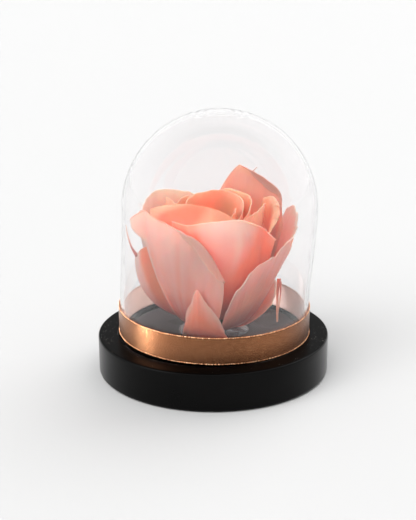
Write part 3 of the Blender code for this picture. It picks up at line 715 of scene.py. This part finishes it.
petals = {
    "petal_front_small": dict(
        layer=0, claw=(254, 40), low=(0.86, 0.0), high=(1.0, 0.42), fan=(0.0, 1.0), warm=(0.8, 0.3),
        folds=[(0.52, 0.52, 0.05, 0.5, 0.1), (0.25, 0.35, 0.04, -0.3, 0.2), (0.78, 0.7, 0.04, -0.35, 0.1)],
        paint=[("warm", 0.5, 0.55, 0.4, 0.5, 0.8), ("dusk", 0.55, 0.2, 0.4, 0.2, 0.3)],
        rim=[(243, 19.6, 21.0), (244, 22.4, 28.0), (251, 24.4, 34.0), (257, 26.0, 40.2), (263, 25.2, 35.6),
            (271, 23.8, 30.4), (281, 20.4, 22.6)],
    ),
    "petal_outer_right": dict(
        layer=1, claw=(309, 35), low=(0.6, 0.02), high=(0.72, 0.52), fan=(0.0, 0.6), ragged=0.9,
        roll=[0.3, 0.5, 0.8, 0.4, 0.9, 0.5, 1.1, 0.5, 0.3],
        folds=[(0.3, 0.5, 0.05, 0.5, 0.2), (0.55, 0.62, 0.05, -0.5, 0.2), (0.75, 0.8, 0.04, 0.4, 0.4)],
        paint=[("dusk", 0.35, 0.4, 0.5, 0.22, 1.0), ("warm", 0.5, 0.45, 0.4, 0.35, 0.45)],
        rim=[(281, 24.0, 31.5), (287, 25.0, 37.0), (295, 26.2, 42.8), (304, 27.1, 47.8), (317, 28.0, 50.6),
            (330, 29.0, 53.0), (341, 30.2, 55.4), (352, 30.4, 52.0), (3, 29.6, 46.4)],
    ),
    "petal_outer_left": dict(
        layer=2.6, claw=(178, 22), low=(0.75, 0.02), high=(1.04, 0.5), folds=[(0.66, 0.58, 0.05, 0.6, 0.1)],
        paint=[("dusk", 0.5, 0.2, 0.4, 0.2, 0.25)], streaks=[("warm", 0.843, 0.583, 0.06, 1.4)],
        rim=[(148, 27.1, 35.1), (164, 28.1, 41.0), (180, 28.6, 45.2), (194, 28.6, 47.2), (204, 27.8, 51.0),
            (212, 24.8, 54.2), (221, 23.6, 55.0), (232, 23.0, 50.0)],
    ),
    "petal_lower_right": dict(
        layer=0, claw=(26, 34), low=(0.62, 0.01), high=(0.8, 0.52), corner=0.02,
        paint=[("warm", 0.3, 0.6, 0.4, 0.4, 0.4)],
        rim=[(354, 22.4, 25.6), (3, 24.0, 30.4), (11, 24.6, 33.2), (24, 24.6, 32.8), (38, 24.3, 31.6),
            (52, 23.6, 27.6)],
    ),
    "petal_front_left": dict(
        layer=2, claw=(239, 34), low=(0.68, 0.02), high=(1.0, 0.46), fan=(0.15, 0.95), corner=0.0,
        waist=[16.0, 5.0, 0.0, 0.0], flare=(0.13, 0.88, 0.96, 3.3, -4.0),
        ridges=[([0.62, 0.72, 0.86, 0.98, 1.0], 0.16, [0.0, 1.2, 1.4, 0.4, 0.0]),
            ([0.74, 0.88, 1.0, 1.0, 1.0], 0.05, [0.0, 0.6, 0.5, 0.0, 0.0])],
        rollPaint=("dusk", 0.7), rollTurn=163.0, rollRadius=0.6,
        roll=[0.4, 0.4, 0.6, 1.2, 2.0, 5.0, 7.0, 6.2, 0.8],
        folds=[(-0.95, 0.58, 0.07, 1.0, 0.55), (0.44, 0.52, 0.05, 0.15, 0.1), (0.6, 0.62, 0.04, -0.15, 0.1),
            (0.3, 0.4, 0.04, 0.15, 0.1), (0.74, 0.76, 0.05, -0.4, 0.2)],
        paint=[("pale", 0.16, 0.97, 0.2, 0.07, 0.5), ("pale", 0.02, 0.6, 0.05, 0.5, 0.3),
            ("warm", 0.16, 0.77, 0.05, 0.05, 0.35), ("dusk", 0.55, 0.12, 0.5, 0.14, 0.5),
            ("warm", 0.06, 0.4, 0.05, 0.25, 0.5)],
        streaks=[("pale", 0.2, 0.44, 0.03, 0.08), ("pale", 0.34, 0.52, 0.02, 0.08),
            ("warm", 0.27, 0.48, 0.03, 0.14), ("warm", 0.45, 0.6, 0.03, 0.14),
            ("warm", 0.13, 0.3, 0.025, 0.12)],
        rim=[(201, 27.5, 61.4), (208, 27.5, 66.0), (221, 27.1, 64.7), (236, 26.8, 63.9), (247, 26.8, 62.2),
            (257, 26.8, 60.0), (265, 27.2, 55.8), (272, 27.1, 50.0), (278, 26.0, 42.5)],
    ),
    "petal_back_outer_left": dict(
        layer=2, claw=(118, 36), low=(0.72, 0.02), high=(1.0, 0.5), fan=(0.0, 0.85),
        rim=[(84, 26.2, 45.7), (98, 27.2, 52.1), (114, 28.1, 55.3), (130, 28.5, 54.3), (146, 28.3, 47.9)],
    ),
    "petal_right": dict(
        layer=3, claw=(8, 36), low=(0.54, 0.03), high=(0.69, 0.55), ragged=0.45,
        roll=[0.3, 0.6, 1.2, 0.5, 1.4, 0.5, 0.3],
        folds=[(0.35, 0.4, 0.06, -0.5, 0.5), (0.55, 0.55, 0.05, 0.4, 0.5)],
        paint=[("dusk", 0.4, 0.9, 0.4, 0.2, 0.2)],
        rim=[(353, 25.5, 44.7), (357, 30.4, 53.2), (4, 32.0, 58.6), (13, 31.9, 62.4), (20, 31.2, 60.8),
            (27, 30.2, 55.4), (40, 29.0, 48.0)],
    ),
    "petal_outer_left_back": dict(
        layer=3, claw=(164, 38), low=(0.69, 0.02), high=(0.98, 0.5), warm=(0.5, 0.0),
        paint=[("pale", 0.85, 0.9, 0.15, 0.25, 0.5)],
        rim=[(128, 26.0, 47.9), (142, 26.6, 54.0), (156, 26.8, 58.0), (168, 26.9, 60.6), (180, 27.1, 62.0),
            (190, 27.2, 62.4), (198, 26.8, 62.0), (206, 25.6, 59.6)],
    ),
    "petal_back_outer_right": dict(
        layer=3, claw=(80, 30), low=(0.66, 0.02), high=(0.9, 0.5), fan=(0.0, 0.85),
        rim=[(48, 25.7, 46.8), (60, 26.8, 53.2), (74, 27.0, 56.0), (88, 26.2, 54.3), (102, 24.7, 48.9)],
    ),
    "petal_front": dict(
        layer=4, claw=(282, 40), low=(0.62, 0.03), high=(1.12, 0.62), fan=(0.0, 0.75), corner=0.0,
        flank=0.18, ridges=[([0.84, 0.84], 0.13, [0.0, 0.8, 2.2, 2.6, 2.4, 1.4, -1.5, -0.5])],
        warm=(0.7, 0.6), rollPaint=("pale", 0.3), rollTurn=100.0, rollRadius=0.6,
        roll=[0.4, 0.4, 0.5, 0.5, 0.5, 0.9, 1.8, 2.2, 1.0],
        folds=[(0.36, 0.24, 0.07, 0.5, 0.3), (0.32, 0.85, 0.06, -0.35, 0.35), (0.5, 0.56, 0.05, 0.3, 0.5)],
        paint=[("warm", 0.84, 0.79, 0.17, 0.18, 0.9), ("warm", 0.7, 0.58, 0.12, 0.18, 0.8),
            ("warm", 0.1, 0.7, 0.14, 0.35, 0.9), ("warm", 0.5, 0.3, 0.45, 0.25, 0.8),
            ("pale", 0.42, 0.97, 0.45, 0.05, 0.45), ("pale", 0.48, 0.8, 0.14, 0.2, 0.15),
            ("pale", 0.55, 0.82, 0.035, 0.14, 0.4)],
        streaks=[("warm", 0.5, 0.17, 0.07, 0.9), ("warm", 0.45, 0.84, 0.08, 0.7)],
        rim=[(232, 23.4, 63.2), (247, 23.8, 62.7), (262, 23.2, 63.8), (277, 23.2, 64.5), (292, 23.4, 64.5),
            (306, 24.0, 62.3), (319, 24.9, 59.1), (331, 25.7, 54.3)],
    ),
    "petal_back_left": dict(
        layer=4, claw=(152, 40), low=(0.66, 0.03), high=(0.94, 0.5), fan=(0.0, 0.75), corner=0.0,
        folds=[(0.3, 0.35, 0.04, -0.4, 0.6), (0.8, 0.75, 0.04, 0.3, 0.5)],
        paint=[("pale", 0.6, 0.95, 0.5, 0.3, 0.85), ("pale", 0.46, 0.98, 0.007, 0.04, 1.0)],
        rim=[(106, 16.6, 63.0), (119, 18.0, 64.9), (132, 20.6, 66.2), (145, 24.0, 66.9), (157, 25.5, 65.9),
            (170, 26.0, 63.4), (184, 25.8, 61.4), (198, 24.6, 57.5)],
    ),
    "petal_under_left": dict(
        layer=5, claw=(206, 28), low=(0.66, 0.03), high=(0.92, 0.48), warm=(1.0, 0.6),
        rim=[(198, 20.8, 44.0), (207, 21.4, 47.0), (217, 21.8, 48.4), (227, 21.8, 48.0), (237, 21.2, 44.0)],
    ),
    "petal_back_right": dict(
        layer=5, claw=(44, 38), high=(0.86, 0.5), corner=0.02, rollPaint=("dusk", 0.75), rollTurn=150.0,
        roll=[0.4, 0.3, -2.0, -4.0, -3.6, -1.2, 0.4, 0.5, 0.4],
        folds=[(0.62, 0.62, 0.05, -0.5, 0.5), (0.1, 0.1, 0.04, -0.5, 0.5), (0.4, 0.45, 0.05, 0.3, 0.5)],
        paint=[("pale", 0.5, 0.9, 0.5, 0.35, 0.7), ("warm", 0.84, 0.86, 0.07, 0.1, 0.7),
            ("pale", 0.04, 0.9, 0.05, 0.3, 0.6), ("dusk", 0.55, 0.85, 0.6, 0.4, 0.3)],
        rim=[(4, 26.2, 55.3), (11, 26.8, 62.1), (20, 27.0, 67.0), (30, 24.3, 70.4), (43, 20.6, 74.0),
            (55, 17.7, 75.7), (67, 15.7, 71.9), (84, 14.9, 64.9)],
    ),
    "petal_inner_roll_right": dict(
        layer=6, claw=(340, 34), low=(0.58, 0.03), high=(0.92, 0.52), fan=(0.0, 0.75), corner=0.02,
        ragged=0.05, rollPaint=("warm", 0.3), rollTurn=125.0, rollRadius=1.4,
        roll=[1.0, 2.2, 3.2, 3.4, 3.2, 2.4, 1.0],
        rim=[(328, 22.6, 56.6), (336, 22.8, 59.4), (345, 22.6, 62.6), (354, 22.2, 65.6), (3, 21.0, 67.4),
            (14, 19.4, 66.8)],
    ),
    "petal_inner_front": dict(
        layer=6, claw=(262, 36), high=(1.1, 0.56), fan=(0.0, 0.7), corner=0.0,
        ridges=[([0.84, 0.84], 0.12, [0.0, 0.6, 2.6, 4.8, 5.2, 4.2, 2.0, 0.0])], warm=(0.6, 0.0),
        paint=[("warm", 0.43, 0.93, 0.12, 0.03, 0.9), ("warm", 0.52, 0.9, 0.08, 0.05, 0.9),
            ("warm", 0.72, 0.97, 0.3, 0.04, 0.25)],
        streaks=[("warm", -0.8, 0.62, 0.12, 0.9)],
        rim=[(172, 23.6, 59.4), (184, 22.6, 62.6), (196, 20.6, 65.0), (211, 18.4, 66.7), (232, 15.4, 67.9),
            (254, 13.6, 67.5), (272, 13.4, 66.3), (290, 13.2, 64.0), (306, 13.0, 61.4)],
    ),
    "petal_inner_back_left": dict(
        layer=6, claw=(120, 36), high=(0.96, 0.5),
        rim=[(88, 13.0, 59.6), (102, 14.0, 62.8), (120, 14.5, 64.5), (138, 15.3, 64.5), (158, 16.4, 62.3)],
    ),
    "petal_inner_front_right": dict(
        layer=7, claw=(334, 34), high=(0.96, 0.52), fan=(0.0, 0.7), corner=0.02, rollPaint=("pale", 0.2),
        rollTurn=70.0, rollRadius=0.4, roll=[0.4, 0.5, 0.6, 0.6, 0.5, 0.4],
        rim=[(306, 14.8, 61.1), (317, 15.9, 61.9), (328, 17.0, 63.1), (338, 18.0, 64.0), (348, 18.8, 65.6),
            (358, 19.4, 65.5)],
    ),
    "petal_inner_left": dict(
        layer=7, claw=(200, 34), high=(1.0, 0.5), fan=(0.0, 0.7),
        rim=[(163, 18.0, 64.5), (172, 17.3, 66.7), (184, 15.8, 67.1), (200, 14.4, 66.4), (222, 12.7, 65.2),
            (242, 11.3, 62.4)],
    ),
    "petal_inner_right_outer": dict(
        layer=8, claw=(10, 34), low=(0.62, 0.03), high=(0.98, 0.52), fan=(0.0, 0.7), corner=0.02,
        rim=[(322, 14.0, 61.9), (340, 14.3, 63.8), (0, 14.1, 66.2), (20, 13.6, 66.8), (40, 12.3, 67.4),
            (60, 11.5, 68.1), (80, 11.1, 66.6)],
    ),
    "petal_inner_back": dict(
        layer=8.7, claw=(66, 58), fan=(0.0, 0.7), corner=0.01,
        paint=[("warm", 0.62, 0.9, 0.16, 0.5, 0.8), ("pale", 0.25, 0.95, 0.12, 0.3, 0.3)],
        rim=[(-46, 11.6, 59.6), (-30, 11.8, 62.4), (-15, 11.6, 64.6), (0, 11.0, 65.8), (20, 10.5, 66.5),
            (44, 10.2, 66.8), (66, 9.8, 67.4), (86, 9.6, 67.4), (106, 9.6, 66.8), (128, 10.2, 66.2),
            (150, 10.9, 65.1), (170, 10.6, 62.3)],
    ),
    "petal_inner_right": dict(
        layer=9.5, claw=(330, 34), low=(0.62, 0.03), fan=(0.0, 0.7), corner=0.03, warm=(0.8, 0.5),
        rim=[(300, 8.2, 58.6), (318, 8.6, 61.0), (334, 8.8, 62.4), (350, 8.6, 63.0), (6, 8.2, 62.6),
            (22, 7.8, 60.6)],
    ),
    "petal_inner_small": dict(
        layer=9, claw=(250, 30),
        rim=[(206, 8.1, 59.6), (226, 8.1, 61.9), (248, 7.9, 62.3), (270, 7.7, 61.7), (292, 7.4, 58.9)],
    ),
    "petal_centre_outer": dict(
        layer=10, claw=(150, 60), low=(0.84, 0.03),
        rim=[(50, 4.5, 55.3), (100, 4.9, 58.1), (150, 5.3, 58.9), (200, 5.5, 58.3), (250, 5.7, 55.7)],
    ),
    "petal_centre_inner": dict(
        layer=11, claw=(330, 60), low=(0.9, 0.03), high=(1.1, 0.52),
        rim=[(240, 3.4, 54.3), (285, 3.6, 56.8), (330, 3.6, 57.4), (375, 3.2, 57.0), (420, 2.8, 54.9)],
    ),
}


def waves(share, draw, counts, jag=0.0):
    # a sum of sines of the given numbers of waves, with drawn phases; jag sharpens them
    total = 0 * share
    for count in counts:
        phase = draw.uniform(0, 2 * math.pi)
        sine = np.sin(2 * math.pi * count * share + phase)
        total = total + (1 - jag) * sine / len(counts) + jag * np.arcsin(sine) / len(counts)
    return total


def drawCreases(shape, draw):
    # share across, lean, half width, height in mm and starting reach of each fine crease
    count = shape["creases"]
    at, lean = draw.uniform(0.02, 0.98, count), draw.uniform(-0.25, 0.25, count)
    wide, tall = draw.uniform(0.012, 0.04, count), shape["creaseDepth"] * draw.uniform(-1, 1, count)
    return zip(at, lean, wide, tall * min(1.0, 5 / (shape["layer"] + 1)), draw.uniform(0.05, 0.6, count))


def petalPlaces(shape, draw):
    # the body: azimuth eases from claw to rim, distance and height follow one Bezier each
    side = np.linspace(-1, 1, shape["columns"])[None, :]
    rise = np.linspace(0, 1, shape["rows"])[:, None]
    share = (side + 1) / 2
    azimuths, radii, heights = zip(*shape["rim"])
    azimuth = through(np.degrees(np.unwrap(np.radians(azimuths))), share)
    radius, height = through(radii, share), through(heights, share)
    clawAzimuth, clawHalf = shape["claw"]
    claw = clawAzimuth + 360 * round((azimuth.mean() - clawAzimuth) / 360) + side * clawHalf
    clawRadius = shape["clawRadius"] - shape["clawRadiusStep"] * shape["layer"]
    clawHeight = shape["clawFoot"] + shape["clawStep"] * shape["layer"]
    climb = height - clawHeight
    length = float(climb.mean()) + 8.0
    rollHeight = np.minimum(np.abs(through(shape["roll"], share)), shape["rollRadius"] * 1.2)
    uneven = waves(share, draw, (2.3, 5.1, 9.7), 0.5) * waves(share, draw, (1.3, 3.1))
    uneven = shape["ragged"] * (1 + 2 * uneven)
    cornerDrop = shape["corner"] * np.abs(side) ** shape["cornerPower"]
    reach = rise * (1 - cornerDrop - (rollHeight + uneven) / length)
    waist = through(shape["waist"], share) * 4 * reach * (1 - reach)
    angle = np.radians(claw + (azimuth - claw) * smoothstep(reach, *shape["fan"]) + waist)
    (lowOut, lowUp), (highOut, highUp) = shape["low"], shape["high"]
    flank = 1 - shape["flank"] * side**2
    out = bezier(clawRadius, radius * lowOut, radius * highOut * flank, radius, reach)
    up = bezier(clawHeight, clawHeight + climb * lowUp, clawHeight + climb * highUp, height, reach)
    for crest, spread, heights in shape["ridges"]:
        out = out + through(heights, share) * np.exp(-(((reach - through(crest, share)) / spread) ** 2))
    if "flare" in shape:
        fromSide, fromReach, toReach, outward, around = shape["flare"]
        turned = (1 - smoothstep(share, 0.0, fromSide)) * smoothstep(reach, fromReach, toReach)
        out = out + outward * turned
        angle = angle + np.radians(around) * turned
    places = roundAxis(out, angle, up)

    # soft waves across the face, growing towards the rim
    wave = waves(share + 0.15 * reach, draw, (1.7, 3.1, 5.3)) * smoothstep(reach, 0.45, 1.0)
    bump = shape["ruffle"] * wave
    # lengthwise folds: a crest along a straight line of shares, then drawn fine creases
    for below, above, wide, tall, start in shape["folds"]:
        off = (share - below - (above - below) * reach) / wide
        bump = bump + tall * np.exp(-np.sqrt(off**2 + 0.05)) * smoothstep(reach, start, start + 0.3)
    for at, lean, wide, tall, start in drawCreases(shape, draw):
        off = (share - at - lean * (reach - 0.5)) / wide
        bump = bump + tall * np.exp(-off**2) * smoothstep(reach, start, start + 0.4)
    return places + sheetNormals(places) * bump[..., None], share, reach


def rolledEdge(places, share, shape):
    # rows added beyond the rim: the way on turns by rollTurn over the first rollRadius x turn of the
    # width, then runs straight; a minus width turns towards the axis
    width = through(shape["roll"], share)[0]
    turn = math.radians(shape["rollTurn"])
    way = unit(places[-1] - places[-3])
    normal = unit(np.cross(np.gradient(places[-1], axis=0), way)) * np.sign(width)[:, None]
    step = np.maximum(np.abs(width), 0.12)[None, :] / shape["rollRows"]
    run = (np.arange(shape["rollRows"])[:, None] + 0.5) * step
    facing = turn * np.minimum(run / (shape["rollRadius"] * turn), 1.0)
    ahead = np.cumsum(np.cos(facing) * step, axis=0)
    aside = np.cumsum(np.sin(facing) * step, axis=0)
    return np.concatenate([places, places[-1] + ahead[..., None] * way + aside[..., None] * normal])


# the tones mixed into the petals' colour: warm, a red glow of light through the petals painted where they
# lie in shade, partly their own deeper colour; a pale one of painted light on faces and rims turned to the
# light; a dark mauve one of painted shade
petalTints = dict(warm=(0.99, 0.20, 0.11, 1), pale=(0.79, 0.57, 0.49, 1), dusk=(0.58, 0.23, 0.17, 1))
skins = dict(  # colours from claw to rim outside and inside, and of the painted highlight at the very edge
    outerPetalSkin=dict(
        outside=[(0.0, (0.80, 0.18, 0.14)), (0.35, (0.89, 0.25, 0.21)), (0.7, (0.88, 0.30, 0.26)),
                 (0.88, (0.76, 0.36, 0.31)), (1.0, (0.72, 0.44, 0.38))],
        inside=[(0.0, (0.75, 0.12, 0.07)), (0.5, (0.93, 0.24, 0.15)), (0.85, (0.90, 0.40, 0.34)),
                (1.0, (0.84, 0.50, 0.45))],
        edge=(0.86, 0.53, 0.45),
    ),
    innerPetalSkin=dict(
        outside=[(0.0, (0.80, 0.11, 0.06)), (0.6, (0.98, 0.25, 0.12)), (0.9, (0.98, 0.39, 0.25)),
                 (1.0, (0.96, 0.43, 0.30))],
        inside=[(0.0, (0.80, 0.10, 0.04)), (0.6, (0.98, 0.17, 0.07)), (0.9, (0.98, 0.30, 0.16)),
                (1.0, (0.95, 0.42, 0.28))],
        edge=(0.93, 0.52, 0.42),
    ),
    tornPetalSkin=dict(
        outside=[(0.0, (0.62, 0.27, 0.22)), (1.0, (0.70, 0.34, 0.28))],
        inside=[(0.0, (0.62, 0.25, 0.20)), (1.0, (0.70, 0.32, 0.26))], edge=(0.75, 0.42, 0.35),
    ),
)


def petalMaterial(name):
    # ramps from claw to rim, mixed towards each tone of painted glow, light and shade by the petal's
    # values; then veins, the painted highlight at the edge and the painted shade at the foot
    material, tree, shader = newMaterial(
        name,
        **{"Subsurface Weight": 0.9, "Subsurface Radius": (2.7, 0.68, 0.42), "Subsurface Scale": 0.001,
           "Specular IOR Level": 0.25, "Sheen Weight": 0.04, "Sheen Roughness": 0.5},
    )
    skin = skins[name]
    flat = addNode(tree, "UVMap", uv_map="UVMap").outputs["UV"]
    rise = addNode(tree, "SeparateXYZ", {"Vector": flat}).outputs["Y"]
    outside, edge, *shares = (
        addNode(tree, "Attribute", attribute_name=value).outputs["Fac"]
        for value in ("outside", "edge", *petalTints)
    )
    inner, outer = (addRamp(tree, rise, skin[face]) for face in ("inside", "outside"))
    colour = mixColour(tree, outside, inner, outer)
    for share, tint in zip(shares, petalTints.values()):
        colour = mixColour(tree, share, colour, tint)
    # veins fan out from the claw with the petal's own sides
    fine = noiseValue(tree, flat, 1.0, 3.0, 0.6, (34, 2.2, 1))
    broad = noiseValue(tree, flat, 1.0, 2.0, 0.5, (9, 1.3, 1))
    cloud = noiseValue(tree, objectPlace(tree), 140.0, 3.0)
    veins = meanOfThree(tree, fine, broad, cloud)
    shade = addRamp(tree, veins, [(0.36, (0.95, 0.90, 0.90)), (0.62, (1.0, 1.0, 1.0))])
    colour = mixColour(tree, 1.0, colour, shade, "MULTIPLY")
    # a painted highlight along the rim and the sides, by the edge values
    colour = mixColour(tree, edge, colour, (*skin["edge"], 1))
    # painted shade: mauve and darker towards the claw, low down near the base
    stops = [(0.28, (0.44, 0.33, 0.37)), (0.46, (0.78, 0.69, 0.72)), (0.58, (1.0, 1.0, 1.0))]
    feed(shader, "Base Color", mixColour(tree, 1.0, colour, addRamp(tree, rise, stops), "MULTIPLY"))
    feed(shader, "Roughness", addRamp(tree, cloud, [(0.3, 0.42), (0.7, 0.56)]))
    bumpFrom(tree, shader, veins, 0.0006, 0.35)
    return material


def petalTones(shape, share, along, rolled):
    # how far each spot is painted with warm glow, pale light and dusky shade: soft ovals
    # exp(-(share/width)^2 - (reach/height)^2)
    low, sides = shape["warm"]
    tones = dict(warm=low * (1 - smoothstep(along, 0.35, 0.95)) + sides * np.abs(2 * share - 1) ** 3)
    tones |= dict(pale=0 * along, dusk=0 * along)
    for tone, at, up, wide, tall, strength in shape["paint"]:
        oval = ((share - at) / wide) ** 2 + ((along - up) / tall) ** 2
        tones[tone] = tones[tone] + strength * np.exp(-oval)
    for tone, below, above, wide, strength in shape["streaks"]:
        off = (share - below - (above - below) * along) / wide
        tones[tone] = tones[tone] + strength * np.exp(-off**2) * smoothstep(along, 0.1, 0.4)
    # the rolled edges take a tone of their own, painted light, shade or glow as given
    tone, strength = shape["rollPaint"]
    tones[tone] = tones[tone] + strength * rolled
    return {tone: np.clip(values, 0, 1) for tone, values in tones.items()}


def makePetal(node, shape, draw, skin):
    # the body and its rolled edge as one sheet, thinner near the rim and the sides
    body, share, reach = petalPlaces(shape, draw)
    places = rolledEdge(body, share, shape)
    rows, columns = places.shape[:2]
    along = np.concatenate([reach, np.repeat(reach[-1:], rows - len(body), axis=0)]) + 0 * share
    steps = np.linalg.norm(np.diff(places, axis=0), axis=-1)
    toRim = np.concatenate([steps[::-1].cumsum(axis=0)[::-1], np.zeros((1, columns))])
    widths = np.linalg.norm(np.diff(places, axis=1), axis=-1).sum(axis=1, keepdims=True)
    toSide = np.minimum(share, 1 - share) * widths
    thinner = smoothstep(np.minimum(toRim, toSide), 0.0, shape["thinFrom"])
    thickness = shape["rimThickness"] + (shape["thickness"] - shape["rimThickness"]) * thinner
    points, faces, spread = thickSheet(places, thickness)
    first, *rest = node.split("_")
    made = pieceObject(first + "".join(word.capitalize() for word in rest), points, faces, skin)
    addUv(made, spread(np.stack([share + 0 * along, along], -1)))
    total = rows * columns
    outside = np.full(len(points), 0.5)
    outside[:total], outside[total:2 * total] = 1.0, 0.0
    addValue(made, "outside", outside)
    # the edge values: a painted highlight along the rim and the sides
    (rimShare, rimFade), (sideShare, sideFade) = shape["rimPale"], shape["sidePale"]
    pale = rimShare * np.exp(-toRim / rimFade) + sideShare * np.exp(-toSide / sideFade)
    addValue(made, "edge", spread(pale))
    rolled = np.concatenate([0 * body[..., 0], np.ones((rows - len(body), columns))])
    for tone, values in petalTones(shape, share, along, rolled).items():
        addValue(made, tone, spread(values))
    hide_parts(node)


def makePetals():
    # each petal is drawn with a seed of its own
    outerSkin, innerSkin = petalMaterial("outerPetalSkin"), petalMaterial("innerPetalSkin")
    for number, (node, own) in enumerate(petals.items()):
        shape = petalCommon | own
        inner = shape["layer"] >= shape["firstInner"]
        makePetal(
            node, shape, np.random.default_rng(100 + number),
            innerSkin if inner else outerSkin,
        )
    print("petals:", len(petals))


# the torn threads and the dust

# node: the one a piece stands for; strips: route of (x, y, z) in mm, its width in mm along the route,
# the way its face looks, and cup: how far its middle stands proud, in mm
threadSize = dict(thickness=0.14, rows=60, columns=5)
threads = dict(
    petalShred=dict(node="petal_shred", strips=[
        ([(25.2, 3.9, 33.8), (24.7, 4.0, 28.0), (24.7, 4.1, 22.0), (24.7, 3.9, 16.3)],
         [1.5, 0.9, 0.9, 0.7], (0.2, -1.0, 0.1), 0.22),
        ([(25.8, 4.6, 32.4), (25.9, 4.6, 28.0), (25.6, 4.5, 24.0), (25.05, 4.3, 20.0)],
         [1.0, 0.5, 0.4, 0.25], (0.4, -1.0, 0.1), 0.1),
    ]),
    tornThreadLeft=dict(strips=[
        ([(-27.6, -7.6, 46.6), (-29.6, -8.0, 50.6), (-30.7, -8.2, 55.2), (-31.3, -7.4, 58.6)],
         [1.6, 0.7, 0.45, 0.3], (-0.5, -1.0, 0.1), 0.1),
    ]),
    tornHairTop=dict(strips=[
        ([(14.6, 13.9, 72.6), (15.6, 13.9, 73.4), (17.0, 13.7, 74.9)],
         [0.5, 0.35, 0.2], (-0.6, -0.6, 0.4), 0.03),
    ]),
)


def stripPlaces(route, widths, face, cup, size):
    # a ribbon along a curve through the route; across the strip the section is a parabola cup (1 - u^2)
    along = np.linspace(0, 1, size["rows"])
    across = np.linspace(-1, 1, size["columns"])[None, :, None]
    line = np.stack([through(values, along) for values in zip(*route)], -1)
    side = unit(np.cross(np.gradient(line, axis=0), face))[:, None, :]
    places = line[:, None, :] + side * across * through(widths, along)[:, None, None] / 2
    return places + unit(np.array(face, float)) * cup * (1 - across**2)


def makeThreads(size):
    # each thread is one mesh of thin strips
    skin = petalMaterial("tornPetalSkin")
    share, along = np.meshgrid(np.linspace(0, 1, size["columns"]), np.linspace(0, 1, size["rows"]))
    for name, thread in threads.items():
        points, faces, uvs = [], [], []
        for strip in thread["strips"]:
            places = stripPlaces(*strip, size)
            sheet, blocks, spread = thickSheet(places, np.full(share.shape, size["thickness"]))
            faces += [block + sum(map(len, points)) for block in blocks]
            points.append(sheet)
            uvs.append(spread(np.stack([share, along], -1)))
        made = pieceObject(name, np.concatenate(points), faces, skin)
        addUv(made, np.concatenate(uvs))
        if "node" in thread:
            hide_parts(thread["node"])
    print("threads:", len(threads))


# specks of dust: azimuth and distance ranges, height of the surface, count, size in mm
dust = dict(seed=9, lift=0.4, growth=(0.5, 1.6), flatness=0.6, patches=[
    ((165, 200), (37.8, 43.0), 14.6, 40, (0.04, 0.11)), ((330, 366), (37.6, 43.2), 14.6, 44, (0.04, 0.11)),
    ((300, 316), (41.5, 43.0), 14.6, 5, (0.04, 0.10)), ((0, 360), (37.6, 43.2), 14.6, 50, (0.03, 0.06)),
    ((128, 152), (33.3, 34.2), 12.8, 14, (0.08, 0.2)), ((0, 360), (16.0, 33.0), 14.6, 60, (0.03, 0.08)),
])


def makeDust(size):
    # flattened balls of drawn place, size and proportions; lift raises their middles, as a share of size
    draw = np.random.default_rng(size["seed"])
    centres, sizes = [], []
    for turn, distance, height, count, wide in size["patches"]:
        angle = np.radians(draw.uniform(*turn, count))
        radius = draw.uniform(*distance, count)
        speck = draw.uniform(*wide, count)
        centres.append(roundAxis(radius, angle, height + size["lift"] * speck))
        sizes.append(speck)
    sizes = np.concatenate(sizes)[:, None, None]
    stretch = draw.uniform(*size["growth"], (len(sizes), 1, 3)) * (1, 1, size["flatness"])
    grey = mottledMaterial(
        "greyDust", 2500.0, 2.0, [(0.3, (0.10, 0.10, 0.09)), (0.7, (0.40, 0.39, 0.37))], Roughness=0.95,
    )
    ways = np.eye(3) * sizes * stretch
    manyBalls("baseDust", ballShape(5, 2), np.concatenate(centres), ways, grey)
    print("specks of dust:", len(sizes))


# the floor

def makeFloor(size):
    # rings whose radii grow by a constant factor, closed by a fan of triangles in the middle
    rings, segments = size["floorRings"], size["floorSegments"]
    reach = np.geomspace(size["floorFirst"], size["floorRadius"], rings)[:, None] / mm
    places = roundAxis(reach, fullTurn(segments), 0.0)
    ring = np.arange(segments)
    middle = np.stack([(ring + 1) % segments, np.full(segments, rings * segments), ring], -1)
    white = (size["floorWhite"],) * 3 + (1,)
    paper = newMaterial("whitePaper", **{"Roughness": 0.9, "Base Color": white})[0]
    return pieceObject(
        "paperFloor", np.concatenate([places.reshape(-1, 3), [[0, 0, 0]]]),
        [gridQuads(rings, segments, closed=True)[:, ::-1], middle], paper,
    )


def main():
    setCamera(cameraView)
    setRoom(studio)
    print("camera and room: done")
    makeFloor(studio)
    makeBase(base)
    makeGlass(glass)
    makeRibbon(ribbon)
    makeGlue(glue)
    print("base, glass, ribbon and glue: done")
    paintReceptacle(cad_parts["receptacle"])
    makePetals()
    makeThreads(threadSize)
    makeDust(dust)
    setLamps(studio["lamps"])
    print("lamps:", len(studio["lamps"]))


main()
